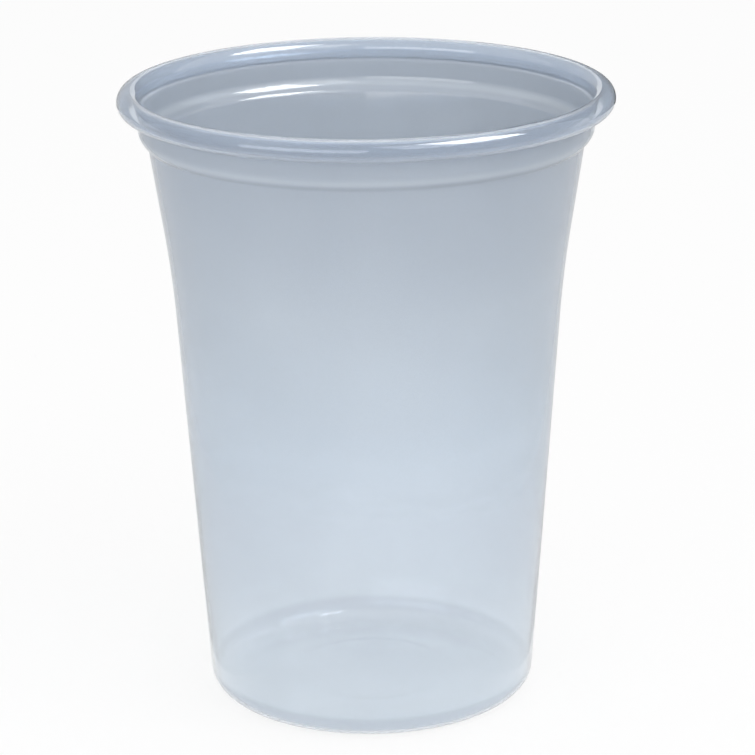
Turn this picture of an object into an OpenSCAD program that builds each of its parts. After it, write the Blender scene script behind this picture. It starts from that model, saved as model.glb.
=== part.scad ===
// Disposable drinking cup, thermoformed in one piece from thin polypropylene sheet.
// Lengths are in millimetres. The cup stands on z = 0 with its axis on Z.
// The section is one strip of sheet: it runs from the centre of the slightly raised floor, down to the
// standing ring, round the heel, up the flared wall, out over the stacking shoulder and round the rolled rim.

/* [Overall] */
// Outer diameter across the rolled rim
rim_d = 98; // [92:0.5:110]
// Height from the table to the top of the rim
cup_h = 125.5; // [100:0.5:150]

/* [Rolled rim] */
// Outer diameter of the roll
roll_d = 4.5; // [3.5:0.1:6]
// How far the sheet is rolled round, in degrees
roll_turn = 280; // [200:5:290]
// Sheet thickness in the rim, the neck and the shoulder
rim_t = 0.55; // [0.4:0.05:0.7]

/* [Neck and stacking shoulder] */
// Height from the shoulder's upper corner to the top of the rim
neck_h = 9; // [8:0.1:14]
// How far the shoulder steps in below the neck
shoulder_w = 1.9; // [1:0.1:4]
// Height of the sloping step
shoulder_h = 1.6; // [1:0.1:6]
// Radius of the bend where the neck turns in to the step
shoulder_top_r = 3; // [1:0.1:4]
// Radius of the bend where the step turns down to the side wall
shoulder_low_r = 1.1; // [0.5:0.1:2]

/* [Side wall] */
// Outer diameter of the lower wall, carried straight down to the table
wall_foot_d = 65.9; // [60:0.1:72]
// Draft of the lower wall, in degrees from upright
draft = 4; // [2:0.25:6]
// Height of the flared upper wall, from its bend to the shoulder
flare_h = 26.4; // [15:0.1:40]
// Radius of the soft bend where the flare starts
flare_bend_r = 200; // [50:5:300]
// Sheet thickness in the side wall
wall_t = 0.45; // [0.3:0.05:0.6]

/* [Base] */
// Outer radius of the heel, where the wall turns under
heel_r = 4.2; // [2:0.1:6]
// Width of the flat standing ring, inwards from the heel
ring_w = 1.4; // [1:0.1:4]
// Width of the gentle slope between the standing ring and the flat floor
slope_w = 12; // [6:0.5:18]
// Clear height under the floor
floor_lift = 1.2; // [0.6:0.1:3]
// Bend radius at the two ends of that slope
floor_bend_r = 10; // [2:0.5:15]
// Sheet thickness in the floor and the standing ring
base_t = 0.55; // [0.4:0.05:0.7]

/* [Hidden] */

// Facets round the axis
ring_facets = 80;
// Largest turn of one facet round a bend or the roll, in degrees
bend_facet = 18;
// Longest facet along a bend
bend_facet_l = 4;
// Most of a straight run that the bends at its two ends may take up together
bend_room = 0.98;

// Radii and heights of the sheet's middle line
roll_mid_r = (roll_d - rim_t) / 2;
roll_centre = [rim_d / 2 - roll_d / 2, cup_h - roll_d / 2];
neck_mid_r = roll_centre.x - roll_mid_r;
shoulder_z = cup_h - neck_h;
wall_top = [neck_mid_r - shoulder_w, shoulder_z - shoulder_h];
flare_z = wall_top.y - flare_h;
ring_mid_z = base_t / 2;
wall_foot = [(wall_foot_d - wall_t) / 2 + tan(draft) * ring_mid_z, ring_mid_z];
flare_foot = [wall_foot.x + tan(draft) * (flare_z - ring_mid_z), flare_z];
heel_mid_r = heel_r - base_t / 2;
ring_inner_r = wall_foot.x - heel_mid_r * tan((90 - draft) / 2) - ring_w;
floor_mid_z = floor_lift + base_t / 2;

// Corners of the middle line, each with its bend radius and the thickness of the sheet there
corners = [
    [[0, floor_mid_z], 0, base_t],
    [[ring_inner_r - slope_w, floor_mid_z], floor_bend_r, base_t],
    [[ring_inner_r, ring_mid_z], floor_bend_r, base_t],
    [wall_foot, heel_mid_r, base_t],
    [flare_foot, flare_bend_r, wall_t],
    [wall_top, shoulder_low_r, rim_t],
    [[neck_mid_r, shoulder_z], shoulder_top_r, rim_t],
    [[neck_mid_r, roll_centre.y], 0, rim_t]
];
last = len(corners) - 1;

// Direction from one point to another
function heading(from, to) = (to - from) / norm(to - from);

// A direction turned to the left by an angle
function turned(v, angle) = [v.x * cos(angle) - v.y * sin(angle), v.x * sin(angle) + v.y * cos(angle)];

// Directions of the straight runs that meet at corner i, and the turn between them
function run_in(i) = heading(corners[i - 1][0], corners[i][0]);
function run_out(i) = heading(corners[i][0], corners[i + 1][0]);
function turn_at(i) =
    let (u = run_in(i), v = run_out(i))
    atan2(u.x * v.y - u.y * v.x, u * v);

// Length that the full bend at corner i takes from each of its runs
function bend_cut(i) =
    i == 0 || i == last ? 0 : corners[i][1] * tan(abs(turn_at(i)) / 2);

// Share of their full size that the two bends on the run up to corner i have room for
function room(i) =
    bend_room * norm(corners[i][0] - corners[i - 1][0]) / (bend_cut(i - 1) + bend_cut(i));

// The rounded corner i, as stations: [point on the middle line, direction across the sheet, thickness]
function bend(i) =
    let (
        turn = turn_at(i),
        size = min(1, room(i), room(i + 1)),
        radius = size * corners[i][1],
        across = turned(run_in(i), 90),
        start = corners[i][0] - size * bend_cut(i) * run_in(i),
        centre = start + sign(turn) * radius * across,
        facets = ceil(max(abs(turn) / bend_facet, PI * radius * abs(turn) / 180 / bend_facet_l))
    )
    [
        for (k = [0 : facets])
            let (out = turned(across, turn * k / facets))
            [centre - sign(turn) * radius * out, out, corners[i][2]]
    ];

// Stations round the roll, from one angle to another about its centre
function roll(from, to) =
    let (facets = ceil(abs(to - from) / bend_facet))
    [
        for (k = [1 : facets])
            let (angle = from + (to - from) * k / facets, out = [cos(angle), sin(angle)])
            [roll_centre + roll_mid_r * out, out, rim_t]
    ];

// The whole strip, from the centre of the floor to the free edge of the roll
stations = concat(
    [[corners[0][0], [0, 1], base_t]],
    [for (i = [1 : last - 1]) each bend(i)],
    [[corners[last][0], [-1, 0], rim_t]],
    roll(180, 90),
    roll(90, 0),
    roll(0, 180 - roll_turn)
);

// One face of the sheet: the drinking side is 1, the other side is -1
function face(side) = [for (s = stations) s[0] + side * s[2] / 2 * s[1]];

function reversed(list) = [for (i = [len(list) - 1 : -1 : 0]) list[i]];

// The section of the sheet, on one side of the axis
module sheet_section() {
    polygon(concat(face(1), reversed(face(-1))));
}

module cup() {
    color([0.77, 0.81, 0.86, 0.6])
        rotate_extrude($fn = ring_facets)
            sheet_section();
}

cup();
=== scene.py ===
"""A thermoformed drinking cup of translucent polypropylene, on a pale studio floor."""

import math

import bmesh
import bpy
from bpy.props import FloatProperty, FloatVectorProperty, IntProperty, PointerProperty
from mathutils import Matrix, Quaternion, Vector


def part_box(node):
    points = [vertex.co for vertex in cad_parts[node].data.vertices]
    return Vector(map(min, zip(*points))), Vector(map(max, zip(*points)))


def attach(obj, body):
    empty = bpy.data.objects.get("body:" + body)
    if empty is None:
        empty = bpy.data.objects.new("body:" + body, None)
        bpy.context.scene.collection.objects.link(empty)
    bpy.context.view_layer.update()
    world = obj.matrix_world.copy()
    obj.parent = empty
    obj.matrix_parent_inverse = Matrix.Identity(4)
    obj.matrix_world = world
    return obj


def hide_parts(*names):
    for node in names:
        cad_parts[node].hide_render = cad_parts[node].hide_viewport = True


bl_info = {
    "name": "Thermoformed Cup",
    "version": (1, 0, 0),
    "blender": (4, 5, 0),
    "location": "3D View > Sidebar > Cup",
    "description": "Models a thermoformed drinking cup around its packed solid, with its studio",
    "category": "Add Mesh",
}

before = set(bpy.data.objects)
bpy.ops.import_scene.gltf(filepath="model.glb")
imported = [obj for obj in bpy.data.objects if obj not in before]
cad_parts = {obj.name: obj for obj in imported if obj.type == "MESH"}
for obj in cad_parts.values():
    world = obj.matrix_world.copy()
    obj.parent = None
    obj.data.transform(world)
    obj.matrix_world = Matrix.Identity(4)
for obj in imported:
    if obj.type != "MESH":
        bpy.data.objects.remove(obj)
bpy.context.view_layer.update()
CUP_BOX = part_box("cup")

# Points nearer to each other than this are one point, in metres
SAME_PLACE = 1e-6
# Side of the small square that a piece starts as, in metres
START_SIZE = 0.001
# Edges that turn by less than this are shaded smooth
SMOOTH_TURN = math.radians(50)
# Most values of a noise texture lie between these two
NOISE_LOW, NOISE_HIGH = 0.3, 0.7
# Height of the studio floor in metres, a little under the standing ring so that the two don't meet
FLOOR_Z = -0.0001
# Width of the camera's sensor, in millimetres
SENSOR_W = 36
# How far the camera sees, in metres
SIGHT = 20


def linear(hex_colour):
    """An sRGB hex colour as linear red, green, blue and an alpha of 1."""
    channels = [int(hex_colour[i:i + 2], 16) / 255 for i in (1, 3, 5)]
    return [c / 12.92 if c <= 0.04045 else ((c + 0.055) / 1.055) ** 2.4 for c in channels] + [1.0]


def length(name, description, default):
    """A length in metres that the sidebar shows."""
    return FloatProperty(
        name=name, description=description, default=default, unit="LENGTH", precision=5
    )


def angle(name, description, degrees):
    """An angle that the sidebar shows in degrees."""
    return FloatProperty(
        name=name, description=description, default=math.radians(degrees), subtype="ANGLE"
    )


def colour(name, description, hex_colour):
    """A colour that the sidebar shows as a swatch."""
    return FloatVectorProperty(
        name=name, description=description, default=linear(hex_colour), size=4, min=0, max=1,
        subtype="COLOR",
    )


def amount(name, description, default):
    """A plain number."""
    return FloatProperty(name=name, description=description, default=default)


class CupSizes(bpy.types.PropertyGroup):
    """Sizes of the cup, the same as those of its solid"""

    rim_d: length("Rim diameter", "Across the rolled rim", CUP_BOX[1].x - CUP_BOX[0].x)
    cup_h: length("Height", "From the table to the top of the rim", CUP_BOX[1].z)
    roll_d: length("Roll diameter", "Outer diameter of the roll", 0.0045)
    roll_turn: angle("Roll turn", "How far the sheet is rolled round", 280)
    rim_t: length("Rim thickness", "Of the sheet in the rim, the neck and the shoulder", 0.00055)
    neck_h: length("Neck height", "From the shoulder's upper corner to the rim's top", 0.009)
    shoulder_w: length("Shoulder width", "How far it steps in below the neck", 0.0019)
    shoulder_h: length("Shoulder height", "Height of the sloping step", 0.0016)
    shoulder_top_r: length("Upper shoulder bend", "Radius where the neck turns in", 0.003)
    shoulder_low_r: length("Lower shoulder bend", "Radius where the step turns down", 0.0011)
    wall_foot_d: length("Wall diameter", "Of the lower wall, carried down to the table", 0.0659)
    draft: angle("Draft", "Draft of the lower wall from upright", 4)
    flare_h: length("Flare height", "Of the flared wall, from its bend to the shoulder", 0.0264)
    flare_bend_r: length("Flare bend", "Radius of the soft bend where the flare starts", 0.2)
    wall_t: length("Wall thickness", "Of the sheet in the side wall", 0.00045)
    heel_r: length("Heel radius", "Outer radius where the wall turns under", 0.0042)
    ring_w: length("Ring width", "Width of the flat standing ring", 0.0014)
    slope_w: length("Slope width", "Of the slope from the standing ring to the floor", 0.012)
    floor_lift: length("Floor lift", "Clear height under the floor", 0.0012)
    floor_bend_r: length("Floor bend", "Bend radius at the two ends of that slope", 0.01)
    base_t: length("Base thickness", "Of the sheet in the floor and the standing ring", 0.00055)
    facets: IntProperty(
        name="Facets", description="Facets round the axis", default=288, min=24, max=320
    )


class CupFinish(bpy.types.PropertyGroup):
    """Look of the plastic"""

    base_colour: colour("Base colour", "Tint of the floor and the standing ring", "#E8EEF4")
    # Painted shade: the heel's darker tint stands in for the dark arc that the bent sheet shows at
    # the heel; the sheet is also thicker there
    heel_shade_colour: colour("Heel colour", "Darker tint of the thicker sheet in the heel", "#E1E7EE")
    foot_colour: colour("Foot colour", "Tint of the wall just above the heel", "#EFF5FA")
    low_colour: colour("Low colour", "Tint a third of the way up to the flare", "#E3E9F0")
    middle_colour: colour("Middle colour", "Tint two thirds of the way up to it", "#DBE4ED")
    # From the flare up to the neck the tint darkens: partly the sheet's haze, partly painted shade
    # for the dimmer light seen through the upper cup
    flare_haze_and_shade_colour: colour("Flare colour", "Tint where the flare starts", "#C6CFD9")
    neck_haze_and_shade_colour: colour("Neck colour", "Tint of the hazier shoulder and neck", "#BAC3CE")
    # Painted highlight: the paler band at the shoulder's upper bend stands in for a reflection of
    # bright light in that bend
    bend_highlight_colour: colour("Bend colour", "Paler tint of the shoulder's stressed bend", "#C5CED8")
    rim_colour: colour("Rim colour", "Tint of the rolled rim", "#D7DFE9")
    base_clear: amount("Base clearness", "Share of light that isn't scattered, low down", 0.92)
    low_clear: amount("Low clearness", "The same, a third of the way up to the flare", 0.9)
    middle_clear: amount("Middle clearness", "The same, two thirds of the way up to it", 0.63)
    flare_clear: amount("Flare clearness", "The same, where the flare starts", 0.43)
    neck_clear: amount("Neck clearness", "The same, at the shoulder and the neck", 0.455)
    roll_foot_clear: amount("Roll foot clearness", "The same, at the foot of the roll", 0.7)
    rim_clear: amount("Rim clearness", "The same, in the rolled rim", 0.88)
    # Soft edge of the heel's painted shade and of the shoulder bend's painted highlight
    tint_edge: length("Tint edge", "Soft edge of the heel's and the bend's tint", 0.0004)
    roll_edge: length("Roll edge", "Soft edge between the neck's and the rim's tint", 0.0005)
    roll_haze_h: length("Roll haze", "How far the neck's haze reaches up the roll", 0.002)
    mottle_size: length("Mottle size", "Of the cloudy patches left by uneven stretching", 0.03)
    mottle: amount("Mottle", "How much clearness the patches take away or give", 0.025)
    mottle_detail: amount("Mottle detail", "Finer levels in the patches and the grain", 1.0)
    grain_size: length("Grain size", "Of the grain that scatters light in the sheet", 0.00005)
    grain: amount("Grain", "How much clearness the grain takes away or gives", 0.04)
    streak_w: length("Streak width", "Of the upright marks left by the drawing", 0.0022)
    streak_l: length("Streak length", "Length of those marks", 0.06)
    streak_depth: length("Streak depth", "Depth of those marks", 0.00001)
    streak_detail: amount("Streak detail", "Finer levels in those marks", 3.0)
    least_roughness: amount("Least roughness", "Roughness of the glossiest streaks", 0.03)
    most_roughness: amount("Most roughness", "Roughness of the dullest streaks", 0.08)
    ior: amount("Refraction", "Refractive index of polypropylene", 1.49)


class StageSettings(bpy.types.PropertyGroup):
    """Floor, light and camera"""

    floor_size: length("Floor size", "Side of the square floor", 6.0)
    floor_colour: colour("Floor colour", "Pale paper under the cup", "#F2F2F2")
    floor_white: amount("Floor white", "How far it is burnt out to white where it is seen", 0.85)
    ambient: amount("Ambient", "Strength of the studio's plain light", 0.81)
    key_power: amount("Key light", "Power of the softbox at the right, in watts", 3.6)
    key_azimuth: angle("Key azimuth", "To the right of the camera, seen from the cup", 44)
    key_elevation: angle("Key elevation", "Above the level", 45)
    key_distance: length("Key distance", "From the cup's middle to the softbox", 1.0)
    key_w: length("Key width", "Width of the softbox", 0.9)
    key_h: length("Key height", "Height of the softbox", 0.6)
    fill_power: amount("Fill light", "Power of the large light at the left, in watts", 22.0)
    fill_azimuth: angle("Fill azimuth", "To the right of the camera, seen from the cup", -29)
    fill_elevation: angle("Fill elevation", "Above the level", 8)
    fill_distance: length("Fill distance", "From the cup's middle to the light", 2.0)
    fill_w: length("Fill width", "Width of the light", 2.2)
    fill_h: length("Fill height", "Height of the light", 1.4)
    window_power: amount("Window", "Power of the window that the highlights show, in watts", 11.0)
    window_azimuth: angle("Window azimuth", "To the right of the camera, seen from the cup", 66)
    window_elevation: angle("Window elevation", "Above the level", 52)
    window_distance: length("Window distance", "From the cup's middle to the window", 1.0)
    window_w: length("Window width", "Width of the window", 0.54)
    window_h: length("Window height", "Height of the window", 0.5)
    left_card: colour("Left card", "Grey of the card that stands behind, at the left", "#A9A9A9")
    right_card: colour("Right card", "Grey of the card that stands at the right", "#303030")
    low_card: colour("Low cards", "Grey of the two cards that lie beside the cup", "#E2E2E2")
    card_size: length("Card size", "Side of each card", 0.9)
    card_gap: length("Card gap", "From the cup's axis sideways to each card's near edge", 0.04)
    card_distance: length("Card distance", "From the cup's axis to the standing cards", 0.5)
    card_lift: length("Card lift", "Height of the lying cards above the table", 0.0003)
    camera_distance: length("Camera distance", "From the cup's axis, along the level", 0.5943)
    camera_height: length("Camera height", "Above the table", 0.25495)
    aim_x: length("Aim across", "Where the view's centre meets the plane of the axis", 0.0017)
    aim_z: length("Aim height", "Height of the view's centre on that plane", 0.0651)
    camera_roll: angle("Camera roll", "Turn of the view about its centre", -0.556)
    lens: amount("Lens", "Focal length on the sensor's width, in millimetres", 147.0)


def start_piece(name):
    """Starts a piece as a small square at the origin, in edit mode, with nothing else selected."""
    if bpy.context.mode != "OBJECT":
        bpy.ops.object.mode_set(mode="OBJECT")
    bpy.ops.object.select_all(action="DESELECT")
    bpy.ops.mesh.primitive_plane_add(size=START_SIZE, location=(0, 0, 0))
    piece = bpy.context.object
    piece.name = name
    piece.data.name = name
    bpy.ops.object.mode_set(mode="EDIT")
    bpy.ops.mesh.select_mode(type="VERT")
    return piece


def select_points(piece, wanted):
    """Selects, in edit mode, the points for whose place wanted is true."""
    bpy.ops.mesh.select_all(action="DESELECT")
    cage = bmesh.from_edit_mesh(piece.data)
    for vertex in cage.verts:
        vertex.select_set(wanted(vertex.co))
    cage.select_flush_mode()
    bmesh.update_edit_mesh(piece.data)


def near(place):
    """A test for points at a place."""
    return lambda point: (point - place).length < SAME_PLACE


def middle_line(s):
    """The named corners of the sheet's middle line, from the centre of the floor to the top of the
    neck, each with its place and bend radius, and the centre of the roll that follows."""
    roll_mid_r = (s.roll_d - s.rim_t) / 2
    roll_centre = Vector((s.rim_d / 2 - s.roll_d / 2, 0, s.cup_h - s.roll_d / 2))
    neck_r = roll_centre.x - roll_mid_r
    shoulder_z = s.cup_h - s.neck_h
    wall_top = Vector((neck_r - s.shoulder_w, 0, shoulder_z - s.shoulder_h))
    ring_z = s.base_t / 2
    slope = math.tan(s.draft)
    wall_foot = Vector(((s.wall_foot_d - s.wall_t) / 2 + slope * ring_z, 0, ring_z))
    flare_z = wall_top.z - s.flare_h
    flare_foot = Vector((wall_foot.x + slope * (flare_z - ring_z), 0, flare_z))
    heel_mid_r = s.heel_r - s.base_t / 2
    heel_cut = heel_mid_r * math.tan((math.pi / 2 - s.draft) / 2)
    ring_inner_r = wall_foot.x - heel_cut - s.ring_w
    floor_z = s.floor_lift + s.base_t / 2
    corners = {
        "floor centre": (Vector((0, 0, floor_z)), 0),
        "slope top": (Vector((ring_inner_r - s.slope_w, 0, floor_z)), s.floor_bend_r),
        "slope foot": (Vector((ring_inner_r, 0, ring_z)), s.floor_bend_r),
        "heel": (wall_foot, heel_mid_r),
        "flare foot": (flare_foot, s.flare_bend_r),
        "wall top": (wall_top, s.shoulder_low_r),
        "neck foot": (Vector((neck_r, 0, shoulder_z)), s.shoulder_top_r),
        "neck top": (Vector((neck_r, 0, roll_centre.z)), 0),
    }
    return corners, roll_centre


class CUP_OT_shell(bpy.types.Operator):
    """Turn the cup's outline round its axis and give the sheet its thickness"""

    bl_idname = "cup.shell"
    bl_label = "Cup shell"

    bend_steps = 8
    roll_steps = 40

    def execute(self, context):
        sizes = context.scene.cup_sizes
        named_corners, roll_centre = middle_line(sizes)
        corners = list(named_corners.values())
        heights = {name: place.z for name, (place, _) in named_corners.items()}
        piece = start_piece("cup_shell")

        # The outline: one point, drawn out from corner to corner
        bpy.ops.mesh.merge(type="CENTER")
        bpy.ops.transform.translate(value=corners[0][0])
        for (start, _), (end, _) in zip(corners, corners[1:]):
            bpy.ops.mesh.extrude_region_move(TRANSFORM_OT_translate={"value": end - start})

        # The bends, each cut back from its corner by its radius times the tangent of half its turn
        for (before, _), (corner, radius), (after, _) in zip(corners, corners[1:], corners[2:]):
            turn = (corner - before).angle(after - corner)
            select_points(piece, near(corner))
            bpy.ops.mesh.bevel(
                offset=radius * math.tan(turn / 2), offset_type="OFFSET",
                segments=self.bend_steps, affect="VERTICES", clamp_overlap=False,
            )

        # The roll, turned out over the top of the neck
        select_points(piece, near(corners[-1][0]))
        bpy.ops.mesh.spin(
            steps=self.roll_steps, angle=sizes.roll_turn, center=roll_centre, axis=(0, -1, 0),
            use_auto_merge=False,
        )

        # The whole outline, turned round the cup's axis
        bpy.ops.mesh.select_all(action="SELECT")
        bpy.ops.mesh.spin(
            steps=sizes.facets, angle=2 * math.pi, center=(0, 0, 0), axis=(0, 0, 1)
        )
        bpy.ops.mesh.select_all(action="SELECT")
        bpy.ops.mesh.remove_doubles(threshold=SAME_PLACE)
        bpy.ops.mesh.normals_make_consistent(inside=False)
        bpy.ops.object.mode_set(mode="OBJECT")

        self.thicken(piece, sizes, heights)
        bpy.ops.object.shade_smooth_by_angle(angle=SMOOTH_TURN)
        plastic = translucent_polypropylene(context.scene.cup_finish, sizes, heights)
        piece.data.materials.clear()
        piece.data.materials.append(plastic)
        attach(piece, "root")
        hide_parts("cup")
        return {"FINISHED"}

    def thicken(self, piece, sizes, heights):
        """Gives the sheet its thickness, thinner in the side wall than in the base and the rim."""
        thickest = max(sizes.base_t, sizes.wall_t, sizes.rim_t)
        stops = [
            (0, sizes.base_t),
            (sizes.heel_r, sizes.base_t),
            (heights["flare foot"], sizes.wall_t),
            (heights["wall top"], sizes.rim_t),
            (sizes.cup_h, sizes.rim_t),
        ]
        group = piece.vertex_groups.new(name="sheet thickness")
        for vertex in piece.data.vertices:
            for (low, t_low), (high, t_high) in zip(stops, stops[1:]):
                if low <= vertex.co.z <= high:
                    share = (vertex.co.z - low) / (high - low)
                    thickness = t_low + share * (t_high - t_low)
                    group.add([vertex.index], thickness / thickest, "REPLACE")
                    break
        solidify = piece.modifiers.new("sheet", "SOLIDIFY")
        solidify.thickness = thickest
        solidify.offset = 0
        solidify.use_even_offset = True
        solidify.vertex_group = group.name
        bpy.ops.object.modifier_apply(modifier=solidify.name)
        piece.vertex_groups.clear()


def add_node(tree, kind, settings=None, values=None, links=None):
    """Adds a node, sets its settings and its sockets' values, and links outputs to its sockets."""
    node = tree.nodes.new(kind)
    for name, value in (settings or {}).items():
        setattr(node, name, value)
    for name, value in (values or {}).items():
        node.inputs[name].default_value = value
    for name, output in (links or {}).items():
        tree.links.new(output, node.inputs[name])
    return node


def new_tree(owner):
    """Gives a material or a world an empty node tree."""
    owner.use_nodes = True
    owner.node_tree.nodes.clear()
    return owner.node_tree


def haze_ramp(tree, height, stops):
    """A ramp over the height: its colour is the tint and its alpha is the clearness. Each stop has
    a height in metres, a tint and a clearness."""
    top = stops[-1][0]
    rise = add_node(
        tree, "ShaderNodeMapRange", values={"From Min": 0, "From Max": top},
        links={"Value": height},
    )
    node = add_node(tree, "ShaderNodeValToRGB", links={"Fac": rise.outputs["Result"]})
    elements = node.color_ramp.elements
    elements[0].position = 0
    elements[1].position = 1
    for place, _, _ in stops[1:-1]:
        elements.new(place / top)
    for element, (_, tint, clear) in zip(elements, stops):
        element.color = (*tint[:3], clear)
    return node


def translucent_polypropylene(finish, sizes, heights):
    """Translucent polypropylene sheet, thermoformed: clear and faintly blue where it was stretched
    thin, with a darker band in the thicker heel that is painted shade for the dark arc the bent
    sheet shows there, a milky haze towards the less stretched neck whose darker tint is partly
    painted shade, a paler line at the shoulder's upper bend that is a painted highlight, cloudy
    patches, a fine grain that scatters light, and upright draw marks that change its gloss and its
    relief."""
    material = bpy.data.materials.new("translucent polypropylene")
    tree = new_tree(material)
    place = add_node(tree, "ShaderNodeTexCoord").outputs["Object"]
    height = add_node(tree, "ShaderNodeSeparateXYZ", links={"Vector": place}).outputs["Z"]
    edge = finish.tint_edge
    floor_top = sizes.floor_lift + sizes.base_t
    flare = heights["flare foot"]
    bend = heights["neck foot"]
    roll_foot = heights["neck top"] - sizes.roll_d / 2
    # Tint and clearness by height. Lighter towards the bottom and darker towards the top: partly
    # the sheet's haze, partly painted shade for the dimmer light seen through the upper cup. The
    # heel's darker band is painted shade and the shoulder bend's paler band is a painted
    # highlight.
    haze = haze_ramp(tree, height, [
        (0, finish.base_colour, finish.base_clear),
        (floor_top, finish.base_colour, finish.base_clear),
        # Painted shade: the darker band in the heel
        (floor_top + edge, finish.heel_shade_colour, finish.base_clear),
        (sizes.heel_r, finish.heel_shade_colour, finish.base_clear),
        (sizes.heel_r + 2 * edge, finish.foot_colour, finish.base_clear),
        (flare / 3, finish.low_colour, finish.low_clear),
        (flare * 2 / 3, finish.middle_colour, finish.middle_clear),
        (flare, finish.flare_haze_and_shade_colour, finish.flare_clear),
        (heights["wall top"], finish.neck_haze_and_shade_colour, finish.neck_clear),
        (bend - 2 * edge, finish.neck_haze_and_shade_colour, finish.neck_clear),
        # Painted highlight: the paler band at the shoulder's upper bend
        (bend - edge, finish.bend_highlight_colour, finish.neck_clear),
        (bend + edge, finish.bend_highlight_colour, finish.neck_clear),
        (bend + 2 * edge, finish.neck_haze_and_shade_colour, finish.neck_clear),
        (roll_foot, finish.neck_haze_and_shade_colour, finish.neck_clear),
        (roll_foot + finish.roll_edge, finish.rim_colour, finish.roll_foot_clear),
        (roll_foot + finish.roll_haze_h, finish.rim_colour, finish.rim_clear),
        (sizes.cup_h, finish.rim_colour, finish.rim_clear),
    ])
    clear = haze.outputs["Alpha"]
    for size, share in ((finish.mottle_size, finish.mottle), (finish.grain_size, finish.grain)):
        patches = add_node(
            tree, "ShaderNodeTexNoise",
            values={"Scale": 1 / size, "Detail": finish.mottle_detail}, links={"Vector": place},
        )
        change = add_node(
            tree, "ShaderNodeMapRange",
            values={
                "From Min": NOISE_LOW, "From Max": NOISE_HIGH, "To Min": -share, "To Max": share,
            },
            links={"Value": patches.outputs["Fac"]},
        )
        clear = add_node(
            tree, "ShaderNodeMath", {"operation": "ADD", "use_clamp": True},
            links={0: clear, 1: change.outputs["Result"]},
        ).outputs[0]
    upright = add_node(
        tree, "ShaderNodeMapping", {"vector_type": "POINT"},
        {"Scale": (1 / finish.streak_w, 1 / finish.streak_w, 1 / finish.streak_l)},
        {"Vector": place},
    )
    streaks = add_node(
        tree, "ShaderNodeTexNoise", values={"Scale": 1.0, "Detail": finish.streak_detail},
        links={"Vector": upright.outputs["Vector"]},
    ).outputs["Fac"]
    gloss = add_node(
        tree, "ShaderNodeMapRange",
        values={
            "From Min": NOISE_LOW, "From Max": NOISE_HIGH,
            "To Min": finish.least_roughness, "To Max": finish.most_roughness,
        },
        links={"Value": streaks},
    )
    relief = add_node(
        tree, "ShaderNodeBump", values={"Distance": finish.streak_depth},
        links={"Height": streaks},
    )
    plastic = add_node(
        tree, "ShaderNodeBsdfPrincipled", values={"IOR": finish.ior},
        links={
            "Base Color": haze.outputs["Color"], "Transmission Weight": clear,
            "Roughness": gloss.outputs["Result"], "Normal": relief.outputs["Normal"],
        },
    )
    add_node(tree, "ShaderNodeOutputMaterial", links={"Surface": plastic.outputs["BSDF"]})
    return material


def plain_view(tree):
    """1 for the rays that show the background: the camera's, and those that a surface reflects or
    lets through."""
    path = add_node(tree, "ShaderNodeLightPath")
    mirrored = add_node(
        tree, "ShaderNodeMath", {"operation": "ADD"},
        links={0: path.outputs["Is Camera Ray"], 1: path.outputs["Is Glossy Ray"]},
    )
    return add_node(
        tree, "ShaderNodeMath", {"operation": "ADD", "use_clamp": True},
        links={0: mirrored.outputs[0], 1: path.outputs["Is Transmission Ray"]},
    )


def studio_floor(stage):
    """Matt white studio paper, lit so far that it shows as nearly plain white, with the cup's soft
    shadow on it."""
    material = bpy.data.materials.new("matt white paper")
    tree = new_tree(material)
    share = add_node(
        tree, "ShaderNodeMath", {"operation": "MULTIPLY"}, {1: stage.floor_white},
        {0: plain_view(tree).outputs[0]},
    )
    paper = add_node(tree, "ShaderNodeBsdfDiffuse", values={"Color": stage.floor_colour})
    white = add_node(tree, "ShaderNodeEmission", values={"Strength": 1.0})
    mix = add_node(
        tree, "ShaderNodeMixShader",
        links={0: share.outputs[0], 1: paper.outputs[0], 2: white.outputs[0]},
    )
    add_node(tree, "ShaderNodeOutputMaterial", links={"Surface": mix.outputs[0]})
    return material


def matt_card(name, tint):
    """Matt grey card."""
    material = bpy.data.materials.new(name)
    tree = new_tree(material)
    card = add_node(tree, "ShaderNodeBsdfDiffuse", values={"Color": tint})
    add_node(tree, "ShaderNodeOutputMaterial", links={"Surface": card.outputs[0]})
    return material


def studio_world(stage):
    """A white room: plain white where it is seen, plain ambient light on the cup."""
    world = bpy.data.worlds.new("white studio")
    tree = new_tree(world)
    strength = add_node(
        tree, "ShaderNodeMapRange", values={"To Min": stage.ambient, "To Max": 1.0},
        links={"Value": plain_view(tree).outputs[0]},
    )
    room = add_node(
        tree, "ShaderNodeBackground", values={"Color": (1, 1, 1, 1)},
        links={"Strength": strength.outputs[0]},
    )
    add_node(tree, "ShaderNodeOutputWorld", links={"Surface": room.outputs[0]})
    return world


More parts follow.
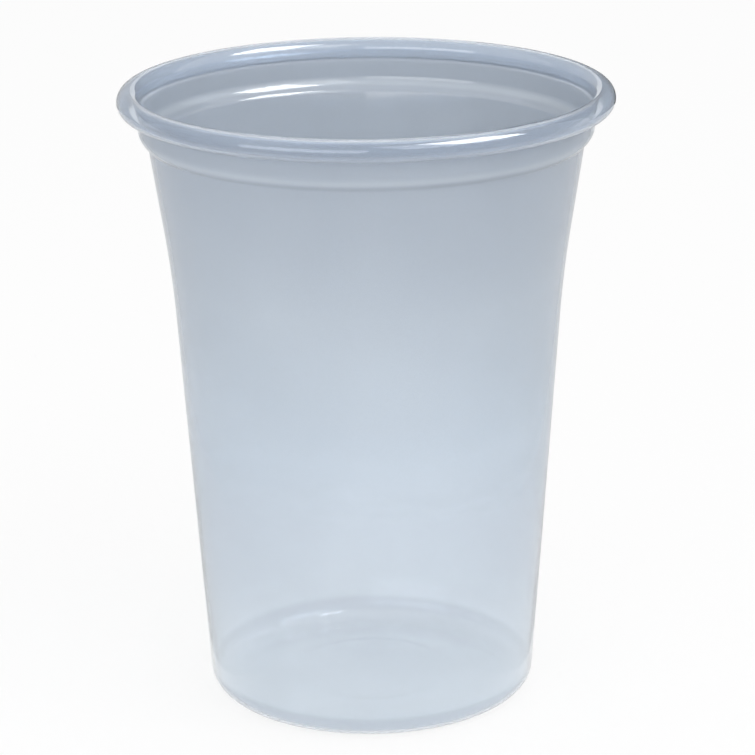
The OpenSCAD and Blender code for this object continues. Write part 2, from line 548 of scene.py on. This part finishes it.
class CUP_OT_stage(bpy.types.Operator):
    """Lay the floor, set the light and place the camera"""

    bl_idname = "cup.stage"
    bl_label = "Studio"

    def execute(self, context):
        stage = context.scene.cup_stage
        bpy.ops.object.select_all(action="DESELECT")
        bpy.ops.mesh.primitive_plane_add(size=stage.floor_size, location=(0, 0, FLOOR_Z))
        floor = context.object
        floor.name = "studio_floor"
        floor.data.materials.append(studio_floor(stage))
        context.scene.world = studio_world(stage)

        middle = Vector((0, 0, context.scene.cup_sizes.cup_h / 2))
        self.softbox("key", stage, middle)
        self.softbox("fill", stage, middle)
        window = self.softbox("window", stage, middle)
        window.visible_diffuse = False

        half = stage.card_size / 2
        across = stage.card_gap + half
        sides = (("left", -across, stage.left_card), ("right", across, stage.right_card))
        for side, x, tint in sides:
            standing = (x, stage.card_distance, half)
            self.card(side + "_standing_card", stage, standing, math.pi / 2, tint)
            self.card(side + "_lying_card", stage, (x, 0, stage.card_lift), 0, stage.low_card)

        eye = Vector((0, -stage.camera_distance, stage.camera_height))
        aim = Vector((stage.aim_x, 0, stage.aim_z))
        turn = (aim - eye).to_track_quat("-Z", "Y") @ Quaternion((0, 0, 1), stage.camera_roll)
        bpy.ops.object.camera_add(location=eye, rotation=turn.to_euler())
        camera = context.object
        camera.name = "photo_view"
        camera.data.sensor_width = SENSOR_W
        camera.data.lens = stage.lens
        camera.data.clip_end = SIGHT
        context.scene.camera = camera
        context.scene.view_settings.view_transform = "Standard"
        return {"FINISHED"}

    def softbox(self, name, stage, aim):
        """Adds a light from the stage's settings of that name, facing the aim."""
        azimuth, elevation, distance, width, height, power = (
            getattr(stage, name + end)
            for end in ("_azimuth", "_elevation", "_distance", "_w", "_h", "_power")
        )
        level = distance * math.cos(elevation)
        place = aim + Vector((
            level * math.sin(azimuth), -level * math.cos(azimuth), distance * math.sin(elevation)
        ))
        turn = (aim - place).to_track_quat("-Z", "Y").to_euler()
        bpy.ops.object.light_add(type="AREA", location=place, rotation=turn)
        lamp = bpy.context.object
        lamp.name = name
        lamp.data.shape = "RECTANGLE"
        lamp.data.size = width
        lamp.data.size_y = height
        lamp.data.energy = power
        return lamp

    def card(self, name, stage, place, tilt, tint):
        """Adds a card that shows only in the cup's reflections."""
        bpy.ops.object.select_all(action="DESELECT")
        bpy.ops.mesh.primitive_plane_add(
            size=stage.card_size, location=place, rotation=(tilt, 0, 0)
        )
        card = bpy.context.object
        card.name = name
        card.data.materials.append(matt_card(name, tint))
        card.visible_camera = False
        card.visible_diffuse = False
        card.visible_transmission = False
        card.visible_shadow = False


class CUP_PT_panel(bpy.types.Panel):
    """Lists the cup's operators and settings"""

    bl_label = "Thermoformed cup"
    bl_idname = "CUP_PT_panel"
    bl_space_type = "VIEW_3D"
    bl_region_type = "UI"
    bl_category = "Cup"

    def draw(self, context):
        column = self.layout.column()
        column.operator(CUP_OT_shell.bl_idname)
        column.operator(CUP_OT_stage.bl_idname)
        scene = context.scene
        for group in (scene.cup_sizes, scene.cup_finish, scene.cup_stage):
            box = self.layout.box()
            for name in group.bl_rna.properties.keys():
                if name not in ("rna_type", "name"):
                    box.prop(group, name)


CLASSES = (CupSizes, CupFinish, StageSettings, CUP_OT_shell, CUP_OT_stage, CUP_PT_panel)


def register():
    for cls in CLASSES:
        bpy.utils.register_class(cls)
    bpy.types.Scene.cup_sizes = PointerProperty(type=CupSizes)
    bpy.types.Scene.cup_finish = PointerProperty(type=CupFinish)
    bpy.types.Scene.cup_stage = PointerProperty(type=StageSettings)


def unregister():
    del bpy.types.Scene.cup_stage
    del bpy.types.Scene.cup_finish
    del bpy.types.Scene.cup_sizes
    for cls in reversed(CLASSES):
        bpy.utils.unregister_class(cls)


def main():
    register()
    bpy.ops.cup.stage()
    bpy.ops.cup.shell()


if __name__ == "__main__":
    main()
